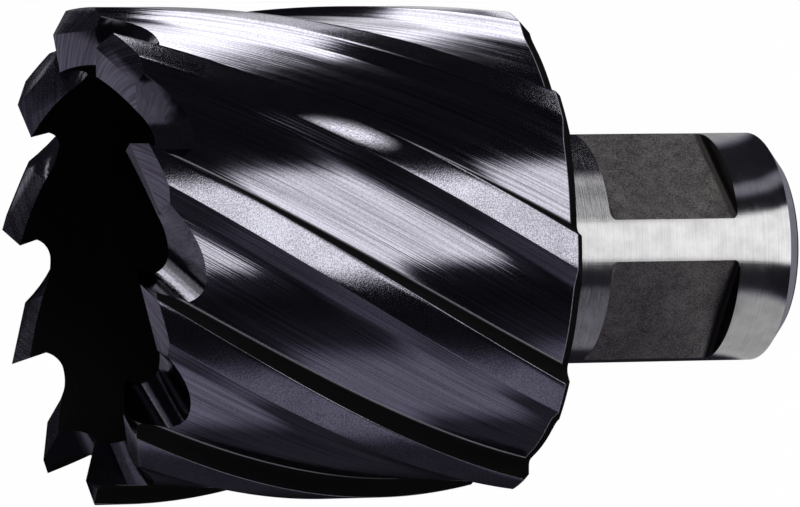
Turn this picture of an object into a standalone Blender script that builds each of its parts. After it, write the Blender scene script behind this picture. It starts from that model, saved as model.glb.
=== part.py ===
"""Annular cutter: a hollow fluted milling cutter with a two-flat shank, ground from one bar of steel.

The cutter stands on the end of its shank. The origin is the centre of that end face, +Z runs along
the axis to the teeth, and the two clamping flats face +X and +Y. Lengths are metres, angles degrees.
"""
import math

import bmesh
import bpy
from mathutils import Matrix, Vector

MM = 0.001
NAME = "annular_cutter"

# Overall
OVERALL_LENGTH = 61.0 * MM          # end of the shank to the highest point of the teeth
TURNING_STEPS = 96                  # facets round every turned surface

# Shank
SHANK_DIAMETER = 19.05 * MM
SHANK_LENGTH = 24.0 * MM
SHANK_CHAMFER_WIDTH = 1.7 * MM      # of the end chamfer, across the end face
SHANK_CHAMFER_HEIGHT = 1.4 * MM     # of the end chamfer, along the axis
FLAT_DEPTH = 1.68 * MM              # how far each flat is milled below the round of the shank
FLAT_START = 5.9 * MM               # height of the lower end of both flats
FLAT_LENGTH = 11.4 * MM
FLAT_CORNER_RADIUS = 0.5 * MM
FLAT_CORNER_STEPS = 3
FLAT_ANGLES = (0.0, 90.0)

# Pilot bore, right through
BORE_DIAMETER = 6.4 * MM
BORE_COUNTERSINK = 0.6 * MM

# Body and cavity
BODY_DIAMETER = 40.5 * MM
BODY_REAR_CHAMFER = 0.5 * MM
BODY_ROOT_FILLET = 0.6 * MM         # where the shank runs into the rear face of the body
WALL_THICKNESS = 4.7 * MM           # of the body round the cavity, before the flutes are milled
CAVITY_FLOOR_THICKNESS = 6.0 * MM   # from the rear face of the body up to the floor of the cavity
CAVITY_FLOOR_FILLET = 1.5 * MM
FILLET_STEPS = 4                    # facets across each fillet of the turned outline
SMOOTH_ANGLE = 30.0                 # edges sharper than this stay sharp when shaded
SAME_PLACE = 0.01 * MM              # points closer than this lie on one another

# Flutes
TEETH = 10
HELIX_ANGLE = 30.2                  # of the lands against the axis, right hand
FLUTE_PHASE = 7.8                   # turn of the first land's leading corner at the rear face
LAND_WIDTH = 2.85 * MM              # along the circumference
HEEL_WIDTH = 1.75 * MM              # width of the facet behind each land
HEEL_DEPTH = 0.85 * MM              # fall of that facet below the land
HEEL_BLEND = 0.7 * MM               # of the round at the facet's foot, along the facet and the floor
HEEL_BLEND_STEPS = 3                # facets across that round
FLUTE_DEPTH = 1.55 * MM             # at the foot of the next land's leading wall
FLUTE_CORNER_RADIUS = 0.75 * MM
FLUTE_WALL_LEAN = 22.0              # of the leading wall against the radius
FLUTE_CORNER_STEPS = 3              # facets round the deep corner
FLUTE_FLOOR_STEPS = 4               # facets across the floor
FLUTE_TWIST_STEP = 4.6              # turn between two rows of facets
FLUTE_OVERRUN = 1.0 * MM            # the flute cutters run past the body by this much

# Teeth
EDGE_RIDGE_INSET = 1.8 * MM         # the highest point of every edge lies this far inside the body
OUTER_EDGE_DROP = 0.9 * MM          # fall of the edge from that point to the outside
INNER_EDGE_DROP = 0.67 * MM         # fall of the edge from that point to the cavity
RADIAL_RAKE = 20.0                  # the inner end of an edge runs ahead of its outer end
AXIAL_RAKE = 18.0                   # lean of the tooth face against the axis
RELIEF_ANGLE = 18.5                 # fall of the tooth back behind its edge
RELIEF_SPAN = 14.0                  # turn from the outer corner to the end of the straight relief
GULLET_DEPTH_INNER = 3.3 * MM       # of the gullet floor below the tips, at the cavity wall
GULLET_FLOOR_SLOPE = 30.5           # fall of the gullet floor towards the outside
GULLET_CORNER_RADIUS = 1.7 * MM
GULLET_CORNER_STEPS = 5             # facets round the corner at the foot of a tooth face
GULLET_BACK_STEPS = 4               # facets from the end of the relief down to the gullet floor
CROWN_OVERRUN = 1.0 * MM            # the crown cutter runs past the wall and the tips by this much

SHANK_RADIUS = SHANK_DIAMETER / 2
BODY_RADIUS = BODY_DIAMETER / 2
CAVITY_RADIUS = BODY_RADIUS - WALL_THICKNESS
CAVITY_FLOOR_HEIGHT = SHANK_LENGTH + CAVITY_FLOOR_THICKNESS
BORE_RADIUS = BORE_DIAMETER / 2
RIDGE_RADIUS = BODY_RADIUS - EDGE_RIDGE_INSET
PITCH = 360.0 / TEETH
TWIST_PER_METRE = math.degrees(math.tan(math.radians(HELIX_ANGLE)) / BODY_RADIUS)


def clear_scene():
    """Remove every object that the file opened with."""
    for item in list(bpy.data.objects):
        bpy.data.objects.remove(item, do_unlink=True)


def new_collection(name):
    """A collection linked to the scene."""
    collection = bpy.data.collections.new(name)
    bpy.context.scene.collection.children.link(collection)
    return collection


def steel_material():
    """Dark coated high-speed steel, the colour of the body that covers most of the cutter."""
    material = bpy.data.materials.new("coated_tool_steel")
    material.use_nodes = True
    shader = material.node_tree.nodes["Principled BSDF"]
    shader.inputs["Base Color"].default_value = (0.11, 0.105, 0.125, 1.0)
    shader.inputs["Roughness"].default_value = 0.35
    shader.inputs["Metallic"].default_value = 0.9
    return material


def add_object(name, mesh, collection):
    """An object at the origin that carries the mesh."""
    item = bpy.data.objects.new(name, mesh)
    collection.objects.link(item)
    return item


def mark_as_cutter(item):
    """Cutters stay out of the render and show as wire."""
    item.hide_render = True
    item.display_type = 'WIRE'


def polar(radius, angle, height):
    """A point at a radius and a turn in degrees round the axis."""
    turn = math.radians(angle)
    return Vector((radius * math.cos(turn), radius * math.sin(turn), height))


def arc(centre, radius, start, end, steps):
    """Points of an arc in a plane, both ends included, for turns given in degrees."""
    points = []
    for step in range(steps + 1):
        turn = math.radians(start + (end - start) * step / steps)
        points.append((centre[0] + radius * math.cos(turn), centre[1] + radius * math.sin(turn)))
    return points


def blank_profile():
    """The turned blank's outline as (radius, height), down the outside and back up the inside."""
    top = OVERALL_LENGTH + CROWN_OVERRUN / 2
    fillet = BODY_ROOT_FILLET
    floor = CAVITY_FLOOR_HEIGHT
    round_floor = CAVITY_FLOOR_FILLET
    outline = [
        (BODY_RADIUS, top),
        (BODY_RADIUS, SHANK_LENGTH + BODY_REAR_CHAMFER),
        (BODY_RADIUS - BODY_REAR_CHAMFER, SHANK_LENGTH),
    ]
    outline += arc((SHANK_RADIUS + fillet, SHANK_LENGTH - fillet), fillet, 90.0, 180.0, FILLET_STEPS)
    outline += [
        (SHANK_RADIUS, SHANK_CHAMFER_HEIGHT),
        (SHANK_RADIUS - SHANK_CHAMFER_WIDTH, 0.0),
        (BORE_RADIUS + BORE_COUNTERSINK, 0.0),
        (BORE_RADIUS, BORE_COUNTERSINK),
        (BORE_RADIUS, floor),
    ]
    outline += arc(
        (CAVITY_RADIUS - round_floor, floor + round_floor), round_floor, 270.0, 360.0, FILLET_STEPS)
    outline.append((CAVITY_RADIUS, top))
    return outline


def turned_blank(collection):
    """The blank before milling: shank, body, cavity and bore from one turned outline."""
    mesh = bpy.data.meshes.new(NAME)
    outline = bmesh.new()
    corners = [outline.verts.new((radius, 0.0, height)) for radius, height in blank_profile()]
    for index, corner in enumerate(corners):
        outline.edges.new((corner, corners[(index + 1) % len(corners)]))
    outline.to_mesh(mesh)
    outline.free()
    blank = add_object(NAME, mesh, collection)
    turning = blank.modifiers.new("turning", 'SCREW')
    turning.axis = 'Z'
    turning.angle = math.radians(360.0)
    turning.steps = TURNING_STEPS
    turning.render_steps = TURNING_STEPS
    turning.use_merge_vertices = True
    turning.merge_threshold = SAME_PLACE
    turning.use_smooth_shade = False
    return blank


def flute_outline():
    """One flute's outline at the rear face, as points in the plane, from the heel to the next wall."""
    leading = FLUTE_PHASE
    heel = leading - math.degrees(LAND_WIDTH / BODY_RADIUS)
    heel_foot = heel - math.degrees(HEEL_WIDTH / BODY_RADIUS)
    next_leading = leading - PITCH
    floor_radius = BODY_RADIUS - FLUTE_DEPTH

    top_corner = polar(BODY_RADIUS, next_leading, 0.0)
    outward = top_corner.normalized()
    along = Vector((-outward.y, outward.x, 0.0))
    lean = math.radians(FLUTE_WALL_LEAN)
    wall = outward * math.cos(lean) - along * math.sin(lean)
    wall_foot = top_corner - wall * (FLUTE_DEPTH / math.cos(lean))

    # The round in the deep corner touches the wall and a floor square to the radius.
    opening = math.radians(90.0 + FLUTE_WALL_LEAN)
    reach = FLUTE_CORNER_RADIUS / math.tan(opening / 2)
    centre = wall_foot + along * reach + outward * FLUTE_CORNER_RADIUS
    corner = []
    for step in range(FLUTE_CORNER_STEPS + 1):
        turn = (math.pi - opening) * step / FLUTE_CORNER_STEPS
        corner.append(centre + (-outward * math.cos(turn) - along * math.sin(turn)) * FLUTE_CORNER_RADIUS)

    floor_end = math.degrees(math.atan2(corner[0].y, corner[0].x))

    def floor_point(share):
        """A point of the floor, from the facet's foot at 0 to the deep corner at 1."""
        radius = (BODY_RADIUS - HEEL_DEPTH) * (1 - share) + floor_radius * share
        return polar(radius, heel_foot * (1 - share) + floor_end * share, 0.0)

    # The facet runs into the floor with a round that touches both.
    heel_corner = polar(BODY_RADIUS, heel, 0.0)
    facet_foot = floor_point(0.0)
    blend_share = HEEL_BLEND / (floor_point(1.0) - facet_foot).length
    blend_start = facet_foot + (heel_corner - facet_foot).normalized() * HEEL_BLEND
    blend_end = floor_point(blend_share)
    floor = []
    for step in range(HEEL_BLEND_STEPS + 1):
        share = step / HEEL_BLEND_STEPS
        floor.append(blend_start.lerp(facet_foot, share).lerp(facet_foot.lerp(blend_end, share), share))
    for step in range(1, FLUTE_FLOOR_STEPS):
        floor.append(floor_point(blend_share + (1 - blend_share) * step / FLUTE_FLOOR_STEPS))

    above_heel = heel_corner + (heel_corner - facet_foot) * (FLUTE_OVERRUN / HEEL_DEPTH)
    above_wall = top_corner + wall * FLUTE_OVERRUN
    # One more point clears the round of the body between the two ends.
    arch = polar(BODY_RADIUS + 2 * FLUTE_OVERRUN, (heel + next_leading) / 2, 0.0)
    return [above_heel] + floor + corner + [above_wall, arch]


def flute_cutters(collection):
    """All the flutes as twisted bars, one shell for each."""
    start = SHANK_LENGTH - FLUTE_OVERRUN
    height = OVERALL_LENGTH + 2 * FLUTE_OVERRUN - start
    twist = TWIST_PER_METRE * height
    steps = math.ceil(twist / FLUTE_TWIST_STEP)
    bars = bmesh.new()
    for flute in range(TEETH):
        turn = PITCH * flute - TWIST_PER_METRE * FLUTE_OVERRUN
        place = Matrix.Translation((0.0, 0.0, start)) @ Matrix.Rotation(math.radians(turn), 4, 'Z')
        corners = [bars.verts.new(place @ point) for point in flute_outline()]
        section = bars.faces.new(corners)
        bmesh.ops.spin(
            bars, geom=[section] + section.edges[:] + section.verts[:], cent=(0.0, 0.0, 0.0),
            axis=(0.0, 0.0, 1.0), dvec=(0.0, 0.0, height / steps),
            angle=math.radians(twist), steps=steps, use_duplicate=False)
    bmesh.ops.recalc_face_normals(bars, faces=bars.faces)
    mesh = bpy.data.meshes.new("flutes")
    bars.to_mesh(mesh)
    bars.free()
    return add_object("flutes", mesh, collection)


def flat_cutter(angle, collection):
    """A bar that mills one clamping flat, with rounded inner corners where it leaves the steel."""
    flat_radius = SHANK_RADIUS - FLAT_DEPTH
    depth = FLAT_DEPTH * 2
    width = SHANK_DIAMETER
    bar = bmesh.new()
    bmesh.ops.create_cube(bar, size=1.0)
    bmesh.ops.scale(bar, vec=(depth, width, FLAT_LENGTH), verts=bar.verts)
    middle = (flat_radius + depth / 2, 0.0, FLAT_START + FLAT_LENGTH / 2)
    bmesh.ops.translate(bar, vec=middle, verts=bar.verts)
    floor_ends = [
        edge for edge in bar.edges
        if all(abs(corner.co.x - flat_radius) < SAME_PLACE for corner in edge.verts)
        and abs(edge.verts[0].co.z - edge.verts[1].co.z) < SAME_PLACE
    ]
    bmesh.ops.bevel(
        bar, geom=floor_ends, offset=FLAT_CORNER_RADIUS, offset_type='OFFSET',
        segments=FLAT_CORNER_STEPS, profile=0.5, affect='EDGES')
    bmesh.ops.rotate(
        bar, cent=(0.0, 0.0, 0.0), matrix=Matrix.Rotation(math.radians(angle), 3, 'Z'), verts=bar.verts)
    mesh = bpy.data.meshes.new("flat")
    bar.to_mesh(mesh)
    bar.free()
    return add_object("flat_%d" % round(angle), mesh, collection)


def edge_height(radius):
    """Height of a cutting edge at a radius: a low roof with its ridge near the outside."""
    if radius > RIDGE_RADIUS:
        fall = OUTER_EDGE_DROP * (radius - RIDGE_RADIUS) / (BODY_RADIUS - RIDGE_RADIUS)
    else:
        fall = INNER_EDGE_DROP * (RIDGE_RADIUS - radius) / (RIDGE_RADIUS - CAVITY_RADIUS)
    return OVERALL_LENGTH - fall


def face_lead(radius, height):
    """How far a tooth face lies ahead of its outer corner, as a length along the circumference."""
    inward = (BODY_RADIUS - radius) * math.tan(math.radians(RADIAL_RAKE))
    upward = (height - edge_height(BODY_RADIUS)) * math.tan(math.radians(AXIAL_RAKE))
    return inward + upward


def tooth_outline(radius):
    """The unrolled outline of one tooth back and gullet, as (turn, height) from edge to next face."""
    pitch_length = math.radians(PITCH) * radius
    tip = edge_height(radius)
    edge = face_lead(radius, tip)
    knee = -math.radians(RELIEF_SPAN) * radius
    knee_height = tip - (edge - knee) * math.tan(math.radians(RELIEF_ANGLE))
    fall = (radius - CAVITY_RADIUS) * math.tan(math.radians(GULLET_FLOOR_SLOPE))
    floor = OVERALL_LENGTH - GULLET_DEPTH_INNER - fall

    # The corner round touches the gullet floor and the face of the next tooth.
    lean = math.radians(AXIAL_RAKE)
    centre_height = floor + GULLET_CORNER_RADIUS
    touch_height = centre_height - GULLET_CORNER_RADIUS * math.sin(lean)
    centre = face_lead(radius, touch_height) - pitch_length + GULLET_CORNER_RADIUS * math.cos(lean)
    control = (knee + centre) / 2

    points = [(edge, tip)]
    for step in range(GULLET_BACK_STEPS):
        share = step / GULLET_BACK_STEPS
        place = (1 - share) ** 2 * knee + 2 * share * (1 - share) * control + share ** 2 * centre
        height = (1 - share) ** 2 * knee_height + (1 - (1 - share) ** 2) * floor
        points.append((place, height))
    points += arc(
        (centre, centre_height), GULLET_CORNER_RADIUS, 270.0, 180.0 + AXIAL_RAKE, GULLET_CORNER_STEPS)
    return [(math.degrees(place / radius), height) for place, height in points]


def crown_ring(radius):
    """The outlines of all the teeth at one radius, joined into a ring of points."""
    corner_height = edge_height(BODY_RADIUS)
    first = FLUTE_PHASE + TWIST_PER_METRE * (corner_height - SHANK_LENGTH)
    ring = []
    for tooth in range(TEETH):
        for turn, height in tooth_outline(radius):
            ring.append(polar(radius, first - PITCH * tooth + turn, height))
    return ring


def crown_cutter(collection):
    """The space in front of the teeth as one ring: tooth backs, gullets and tooth faces below it."""
    inside = CAVITY_RADIUS - CROWN_OVERRUN
    outside = BODY_RADIUS + CROWN_OVERRUN
    stations = [inside, CAVITY_RADIUS, RIDGE_RADIUS, BODY_RADIUS, outside]
    ceiling = OVERALL_LENGTH + 2 * CROWN_OVERRUN
    ring = bmesh.new()
    loops = [[ring.verts.new(point) for point in crown_ring(radius)] for radius in stations]
    above_outside = [ring.verts.new((corner.co.x, corner.co.y, ceiling)) for corner in loops[-1]]
    above_inside = [ring.verts.new((corner.co.x, corner.co.y, ceiling)) for corner in loops[0]]
    loops = [above_inside] + loops + [above_outside]
    count = len(above_inside)
    for index, loop in enumerate(loops):
        following = loops[(index + 1) % len(loops)]
        for place in range(count):
            beside = (place + 1) % count
            ring.faces.new((loop[place], loop[beside], following[beside], following[place]))
    bmesh.ops.triangulate(ring, faces=ring.faces)
    bmesh.ops.recalc_face_normals(ring, faces=ring.faces)
    mesh = bpy.data.meshes.new("crown")
    ring.to_mesh(mesh)
    ring.free()
    return add_object("crown", mesh, collection)


def cut(item, cutter):
    """Take a cutter out of an object."""
    mark_as_cutter(cutter)
    boolean = item.modifiers.new(cutter.name, 'BOOLEAN')
    boolean.operation = 'DIFFERENCE'
    boolean.solver = 'EXACT'
    boolean.object = cutter


def finish(item):
    """Make the milled shape the object's own mesh, with smooth rounds and sharp edges."""
    evaluated = item.evaluated_get(bpy.context.evaluated_depsgraph_get())
    mesh = bpy.data.meshes.new_from_object(evaluated)
    mesh.name = item.name
    mesh.shade_smooth()
    mesh.set_sharp_from_angle(angle=math.radians(SMOOTH_ANGLE))
    item.modifiers.clear()
    item.data = mesh


def main():
    """Turn the blank, then mill the flutes, the flats and the crown of teeth."""
    clear_scene()
    parts = new_collection("annular_cutter_parts")
    cutters = new_collection("cutters")
    body = turned_blank(parts)
    body.data.materials.append(steel_material())
    cut(body, flute_cutters(cutters))
    for angle in FLAT_ANGLES:
        cut(body, flat_cutter(angle, cutters))
    cut(body, crown_cutter(cutters))
    finish(body)


main()
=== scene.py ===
"""Annular cutter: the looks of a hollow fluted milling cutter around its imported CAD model.

The cutter stands on the end of its shank, as in the CAD model. Sizes are metres and angles degrees
unless a property says otherwise. Turns are measured round the cutter's axis from +X.
"""

import math

import bmesh
import bpy
from bpy.props import FloatProperty, FloatVectorProperty, IntProperty, PointerProperty
from mathutils import Matrix, Vector


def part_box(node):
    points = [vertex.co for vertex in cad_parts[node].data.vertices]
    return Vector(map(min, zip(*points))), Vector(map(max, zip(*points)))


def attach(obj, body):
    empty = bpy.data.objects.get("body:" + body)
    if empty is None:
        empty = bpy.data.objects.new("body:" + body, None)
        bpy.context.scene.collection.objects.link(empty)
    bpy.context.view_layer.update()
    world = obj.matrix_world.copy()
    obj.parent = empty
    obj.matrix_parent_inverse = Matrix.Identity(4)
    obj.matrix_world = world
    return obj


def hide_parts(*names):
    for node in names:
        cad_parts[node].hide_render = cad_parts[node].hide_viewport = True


bl_info = {
    "name": "Annular Cutter",
    "version": (1, 0, 0),
    "blender": (4, 5, 0),
    "location": "View3D > Sidebar > Cutter",
    "description": "Mills and finishes an annular cutter and sets its photo stage",
    "category": "Object",
}

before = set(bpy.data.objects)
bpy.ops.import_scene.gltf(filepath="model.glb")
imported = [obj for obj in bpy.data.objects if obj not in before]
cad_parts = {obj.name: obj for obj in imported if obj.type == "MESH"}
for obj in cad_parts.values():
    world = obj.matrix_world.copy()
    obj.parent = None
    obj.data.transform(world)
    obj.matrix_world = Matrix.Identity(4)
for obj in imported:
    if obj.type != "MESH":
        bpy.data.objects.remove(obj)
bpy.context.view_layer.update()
NODE = "annular_cutter"
NODE_LOW, NODE_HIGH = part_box(NODE)

MM = 0.001
OVERALL_LENGTH = NODE_HIGH.z
BODY_RADIUS = NODE_HIGH.x


class CutterSizes(bpy.types.PropertyGroup):
    """Sizes of the cutter. The defaults are the CAD model's."""

    teeth: IntProperty(
        name="Teeth", description="Number of teeth and flutes", default=10, min=3, max=24)
    shank_diameter: FloatProperty(
        name="Shank diameter", description="Ground diameter of the shank",
        default=19.05 * MM, min=5 * MM, unit='LENGTH')
    shank_length: FloatProperty(
        name="Shank length", description="From the shank's end to the body",
        default=24.0 * MM, min=5 * MM, unit='LENGTH')
    flat_depth: FloatProperty(
        name="Flat depth", description="Depth of each milled clamping flat",
        default=1.68 * MM, min=0.1 * MM, unit='LENGTH')
    flat_length: FloatProperty(
        name="Flat length", description="Length of each milled clamping flat",
        default=11.4 * MM, min=1 * MM, unit='LENGTH')
    wall_thickness: FloatProperty(
        name="Wall thickness", description="Of the body round the cavity, before the flutes",
        default=4.7 * MM, min=1 * MM, unit='LENGTH')
    helix_angle: FloatProperty(
        name="Helix angle", description="Lean of the lands against the axis",
        default=math.radians(30.2), min=0.0, max=1.0, subtype='ANGLE')
    land_width: FloatProperty(
        name="Land width", description="Width of each land along the circumference",
        default=2.85 * MM, min=0.5 * MM, unit='LENGTH')
    flute_depth: FloatProperty(
        name="Flute depth", description="Depth of each flute at the foot of its wall",
        default=1.55 * MM, min=0.2 * MM, unit='LENGTH')
    edge_round: FloatProperty(
        name="Edge round", description="Small round on the long edges of each land",
        default=0.05 * MM, min=0.0, unit='LENGTH')


class CutterFinishes(bpy.types.PropertyGroup):
    """Colours and gloss of the cutter's surfaces."""

    coating: FloatVectorProperty(
        name="Coating", description="Reflection colour of the dark coating",
        default=(0.6, 0.59, 0.68), min=0.0, max=1.0, size=3, subtype='COLOR')
    coating_roughness: FloatProperty(
        name="Coating roughness", description="Roughness of the coated flute floors",
        default=0.085, min=0.0, max=1.0)
    land_roughness: FloatProperty(
        name="Land roughness", description="Roughness of the coated lands",
        default=0.09, min=0.0, max=1.0)
    tooth: FloatVectorProperty(
        name="Ground teeth", description="Reflection colour of the relief behind each edge",
        default=(0.33, 0.31, 0.38), min=0.0, max=1.0, size=3, subtype='COLOR')
    shank: FloatVectorProperty(
        name="Ground shank", description="Reflection colour of the bare ground steel",
        default=(0.77, 0.76, 0.77), min=0.0, max=1.0, size=3, subtype='COLOR')
    flat: FloatVectorProperty(
        name="Milled flats", description="Reflection colour of the milled clamping flats",
        default=(0.33, 0.305, 0.3), min=0.0, max=1.0, size=3, subtype='COLOR')
    # near black: the dark scale inside, with the painted shade of the hollow in it
    cavity: FloatVectorProperty(
        name="Cavity", description="Colour of the dark scale inside the cutter",
        default=(0.0012, 0.0012, 0.0014), min=0.0, max=1.0, size=3, subtype='COLOR')


class StageSettings(bpy.types.PropertyGroup):
    """The camera, the floor and the even light."""

    camera_turn: FloatProperty(
        name="Camera turn", description="Direction of the camera round the axis, from +X",
        default=math.radians(41.4), subtype='ANGLE')
    camera_elevation: FloatProperty(
        name="Camera elevation", description="Height of the camera above the horizon",
        default=math.radians(20.17), subtype='ANGLE')
    camera_distance: FloatProperty(
        name="Camera distance", description="From the camera to the point it looks at",
        default=0.635, min=0.1, unit='LENGTH')
    camera_roll: FloatProperty(
        name="Camera roll", description="Roll away from a level axis in the picture",
        default=-0.0154, subtype='ANGLE')
    focal_length: FloatProperty(
        name="Focal length", description="Of the lens on a 36 mm sensor, in millimetres",
        default=346.28, min=10.0)
    aim_height: FloatProperty(
        name="Aim height", description="Height of the point that the camera looks at",
        default=32.38 * MM, unit='LENGTH')
    aim_side: FloatProperty(
        name="Aim side", description="That point's distance beside the axis, up in the picture",
        default=-0.17 * MM, unit='LENGTH')
    floor: FloatVectorProperty(
        name="Floor", description="Colour of the pale floor",
        default=(0.85, 0.85, 0.85), min=0.0, max=1.0, size=3, subtype='COLOR')
    world_level: FloatProperty(
        name="World level", description="Brightness of the even light all round",
        default=0.02, min=0.0, max=1.0)


# Shank details
SHANK_END_CHAMFER = (1.7 * MM, 1.4 * MM)     # off the radius, along the axis
BORE_DIAMETER = 6.4 * MM
BORE_COUNTERSINK = 0.6 * MM
FLAT_START = 5.9 * MM
FLAT_CORNER_RADIUS = 0.5 * MM
FLAT_CORNER_SEGMENTS = 6
FLAT_TURNS = (0.0, 90.0)
MATCH_TOLERANCE = 0.01 * MM         # within which a corner counts as lying on a plane

# Body details
REAR_CHAMFER = 0.5 * MM
ROOT_FILLET = 0.6 * MM
ROOT_FILLET_STEPS = 6
CAVITY_FLOOR_THICKNESS = 6.0 * MM
CAVITY_FLOOR_FILLET = 1.5 * MM
CAVITY_FLOOR_STEPS = 8
TURNING_STEPS = 240                 # once round the axis
MERGE_DISTANCE = 0.0001 * MM        # of corners that meet on the axis
SHARP_ANGLE = 30.0                  # from which an edge isn't shaded smooth

# Flute details
FLUTE_PHASE = 7.8                   # turn of the first land's leading corner at the rear face
HEEL_WIDTH = 1.75 * MM
HEEL_DEPTH = 0.85 * MM
HEEL_BLEND = 0.4 * MM               # of the round at the heel's foot, along the heel
FLOOR_BLEND = 1.7 * MM              # of the same round, along the flute's floor
HEEL_BLEND_STEPS = 10
FLUTE_CORNER_RADIUS = 0.75 * MM
FLUTE_WALL_LEAN = 22.0
COLUMN_TURN_STEP = 0.8              # twist between two rings of the fluted column
LAND_STEPS = 6
FLOOR_STEPS = 8
DEEP_CORNER_STEPS = 6
EDGE_ROUND_SEGMENTS = 2
CORNER_SHARE = 0.09                 # of the pitch, that the wall and its corner take

# Tooth details
EDGE_RIDGE_INSET = 1.8 * MM
OUTER_EDGE_DROP = 0.9 * MM
INNER_EDGE_DROP = 0.67 * MM
RADIAL_RAKE = 20.0
AXIAL_RAKE = 18.0
RELIEF_ANGLE = 18.5
RELIEF_SPAN = 14.0
GULLET_DEPTH_INNER = 3.3 * MM
GULLET_FLOOR_SLOPE = 30.5
GULLET_CORNER_RADIUS = 1.7 * MM
GULLET_CORNER_STEPS = 12
GULLET_BACK_STEPS = 8
OVERRUN = 1.0 * MM

# Face roles, in the order of the cutter's material slots
COATING, RELIEF, GULLET, TOOTH_FACE, CAVITY, SHANK, FLAT = range(7)

# Finishes. Grain sizes are millimetres: one size every way, or a size for each of three directions.
# Shades are the low and high end of the noise between them, then the dark and the light share of the
# surface's own colour. A roughness is its middle and its spread. A bump is its height.
HAIR_LINE = (0.11, 12.0, 13.7, 0.0)       # width, length, and its seed's step for each tooth and start
GRINDING_LINE = (0.3, 14.0, 5.9, 20.0)
BROAD_LINE = (1.1, 30.0, 7.3, 40.0)
LAND_GRAIN = 0.1
COATING_CLOUD = 4.0
HAIR_SHARE = 0.55                   # of the hair lines among the grinding lines
BROAD_SHARE = 0.15                  # of the broad lines in a flute's streaks
FLUTE_GRAIN_SHARE = 0.3             # of the grain in a flute's streaks
LAND_GRAIN_SHARE = 0.75             # of the grain on a land, over the cloud
LAND_BUMP_SHARE = 0.3               # of the lines' height, for the lands' grain
LAND_FADE = (0.06, 0.01)            # depth under the body's radius where a land starts and is full
CORNER_FADE = 0.15                  # of the width of the deep corner's painted shade, over which it fades
REAR_FADE = (0.5, 0.6)              # height over the rear face where the painted shade at the rear ends
FIRST_TOOTH = 10.0                  # added to a tooth's number, which seeds its flute's grain
COATING_SHADES = (0.33, 0.67, 0.55, 1.45)
COATING_BUMP = 0.015 * MM
COATING_SPECULAR = 0.1
FLUTE_ROUGHNESS_SPREADS = (0.05, 0.08)    # with the broad lines and with the grinding lines
LAND_ROUGHNESS_SPREAD = 0.09
PAINTED_SHADE_SHARE = 0.006                  # painted shade, as a share of the coating's colour, in the deep corners and at the rear
PAINTED_SHADE_ROUGHNESS = 0.9

WHEEL_MARK = (0.3, 3.0, 6.0)        # across the slant, along the axis and outwards
RELIEF_GRAIN = 0.14
RELIEF_GRAIN_SHARE = 0.25
RELIEF_SHADES = (0.35, 0.65, 0.6, 1.3)
RELIEF_BUMP = 0.012 * MM
RELIEF_ROUGHNESS = (0.27, 0.15)

GULLET_SHADE = 0.42                 # of the coating's colour
TOOTH_FACE_SHADE = 0.2
GULLET_LINE = (0.16, 0.16, 5.0)     # round the axis, along it and outwards
GULLET_CLOUD = 3.0
GULLET_SHADES = (0.3, 0.75, 0.75, 1.15)
GULLET_BUMP = 0.005 * MM
GULLET_ROUGHNESS = (0.14, 0.08)

CAVITY_RING = (6.0, 6.0, 0.15)
CAVITY_SHADES = (0.3, 0.7, 0.7, 1.0)
CAVITY_BUMP = 0.02 * MM
CAVITY_SPECULAR = 0.15
CAVITY_ROUGHNESS = (0.6, 0.2)

SHANK_RING = (9.0, 9.0, 0.07)
SHANK_BAND = (20.0, 20.0, 0.9)
SHANK_CLOUD = 1.6
SHANK_BAND_SHARE = 0.25
SHANK_CLOUD_SHARE = 0.5
SHANK_SHADES = (0.3, 0.7, 0.76, 1.1)
SHANK_BUMP = 0.008 * MM
SHANK_ROUGHNESS = (0.16, 0.14)      # with the rings
SHANK_CLOUD_SPREAD = 0.12           # of the roughness, with the cloud

FLAT_SPECK = 0.17
FLAT_MOTTLE = 0.9
FLAT_CLOUD = 4.0
FLAT_PATCH_SHARE = 0.45             # of the mottle and the cloud, beside the specks
FLAT_CLOUD_SHARE = 0.4              # of the cloud in those patches
FLAT_SHADES = (0.36, 0.64, 0.5, 1.4)
FLAT_BUMP = 0.05 * MM
FLAT_ROUGHNESS = (0.4, 0.2)
FLAT_END_PAINTED_SHADE = 0.12               # painted shade, as a share of the flat's colour, on its end walls
FLAT_START_FADE = (0.35, 0.8)       # from a flat's lower end, where that painted shade starts to fade and is gone
FLAT_END_FADE = (0.4, 0.1)          # from its upper end, where it starts and is full

# Camera and far lamps
SENSOR_WIDTH = 36.0                 # in millimetres
CLIP_START = 0.01
LAMP_DISTANCE = 2.0
KEY_LAMP = (45.0, 32.0, 0.7, 15.0)  # turn from the camera's side, elevation, size and brightness
FILL_LAMP = (-45.0, 40.0, 0.7, 12.0)

# Floor
FLOOR_SIZE = 6.0
FLOOR_GLOW = 0.985                  # share of plain white in what the camera sees of it

# Tiny oval lamps over one land, whose mirror image is the glint on it
GLINT_DISTANCE = 23.65 * MM         # from the axis to the oval farthest out
GLINT_TURN = 32.3                   # of their middle from the camera's side
GLINT_HEIGHT = 41.8 * MM
GLINT_FACING = 55.0                 # turn from the camera's side that their backs face
GLINT_LEAN = 20.8                   # of their length against the axis
GLINT_STEP = 0.08 * MM              # from each oval to the next, nearer the land
GLINT_OVALS = (                     # length, width and brightness, which adds to that of the ones behind
    (9.5 * MM, 3.0 * MM, 0.05),
    (8.6 * MM, 2.5 * MM, 0.12),
    (7.6 * MM, 2.0 * MM, 0.2),
    (6.4 * MM, 1.5 * MM, 0.3),
    (4.6 * MM, 0.9 * MM, 0.4),
)

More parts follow.
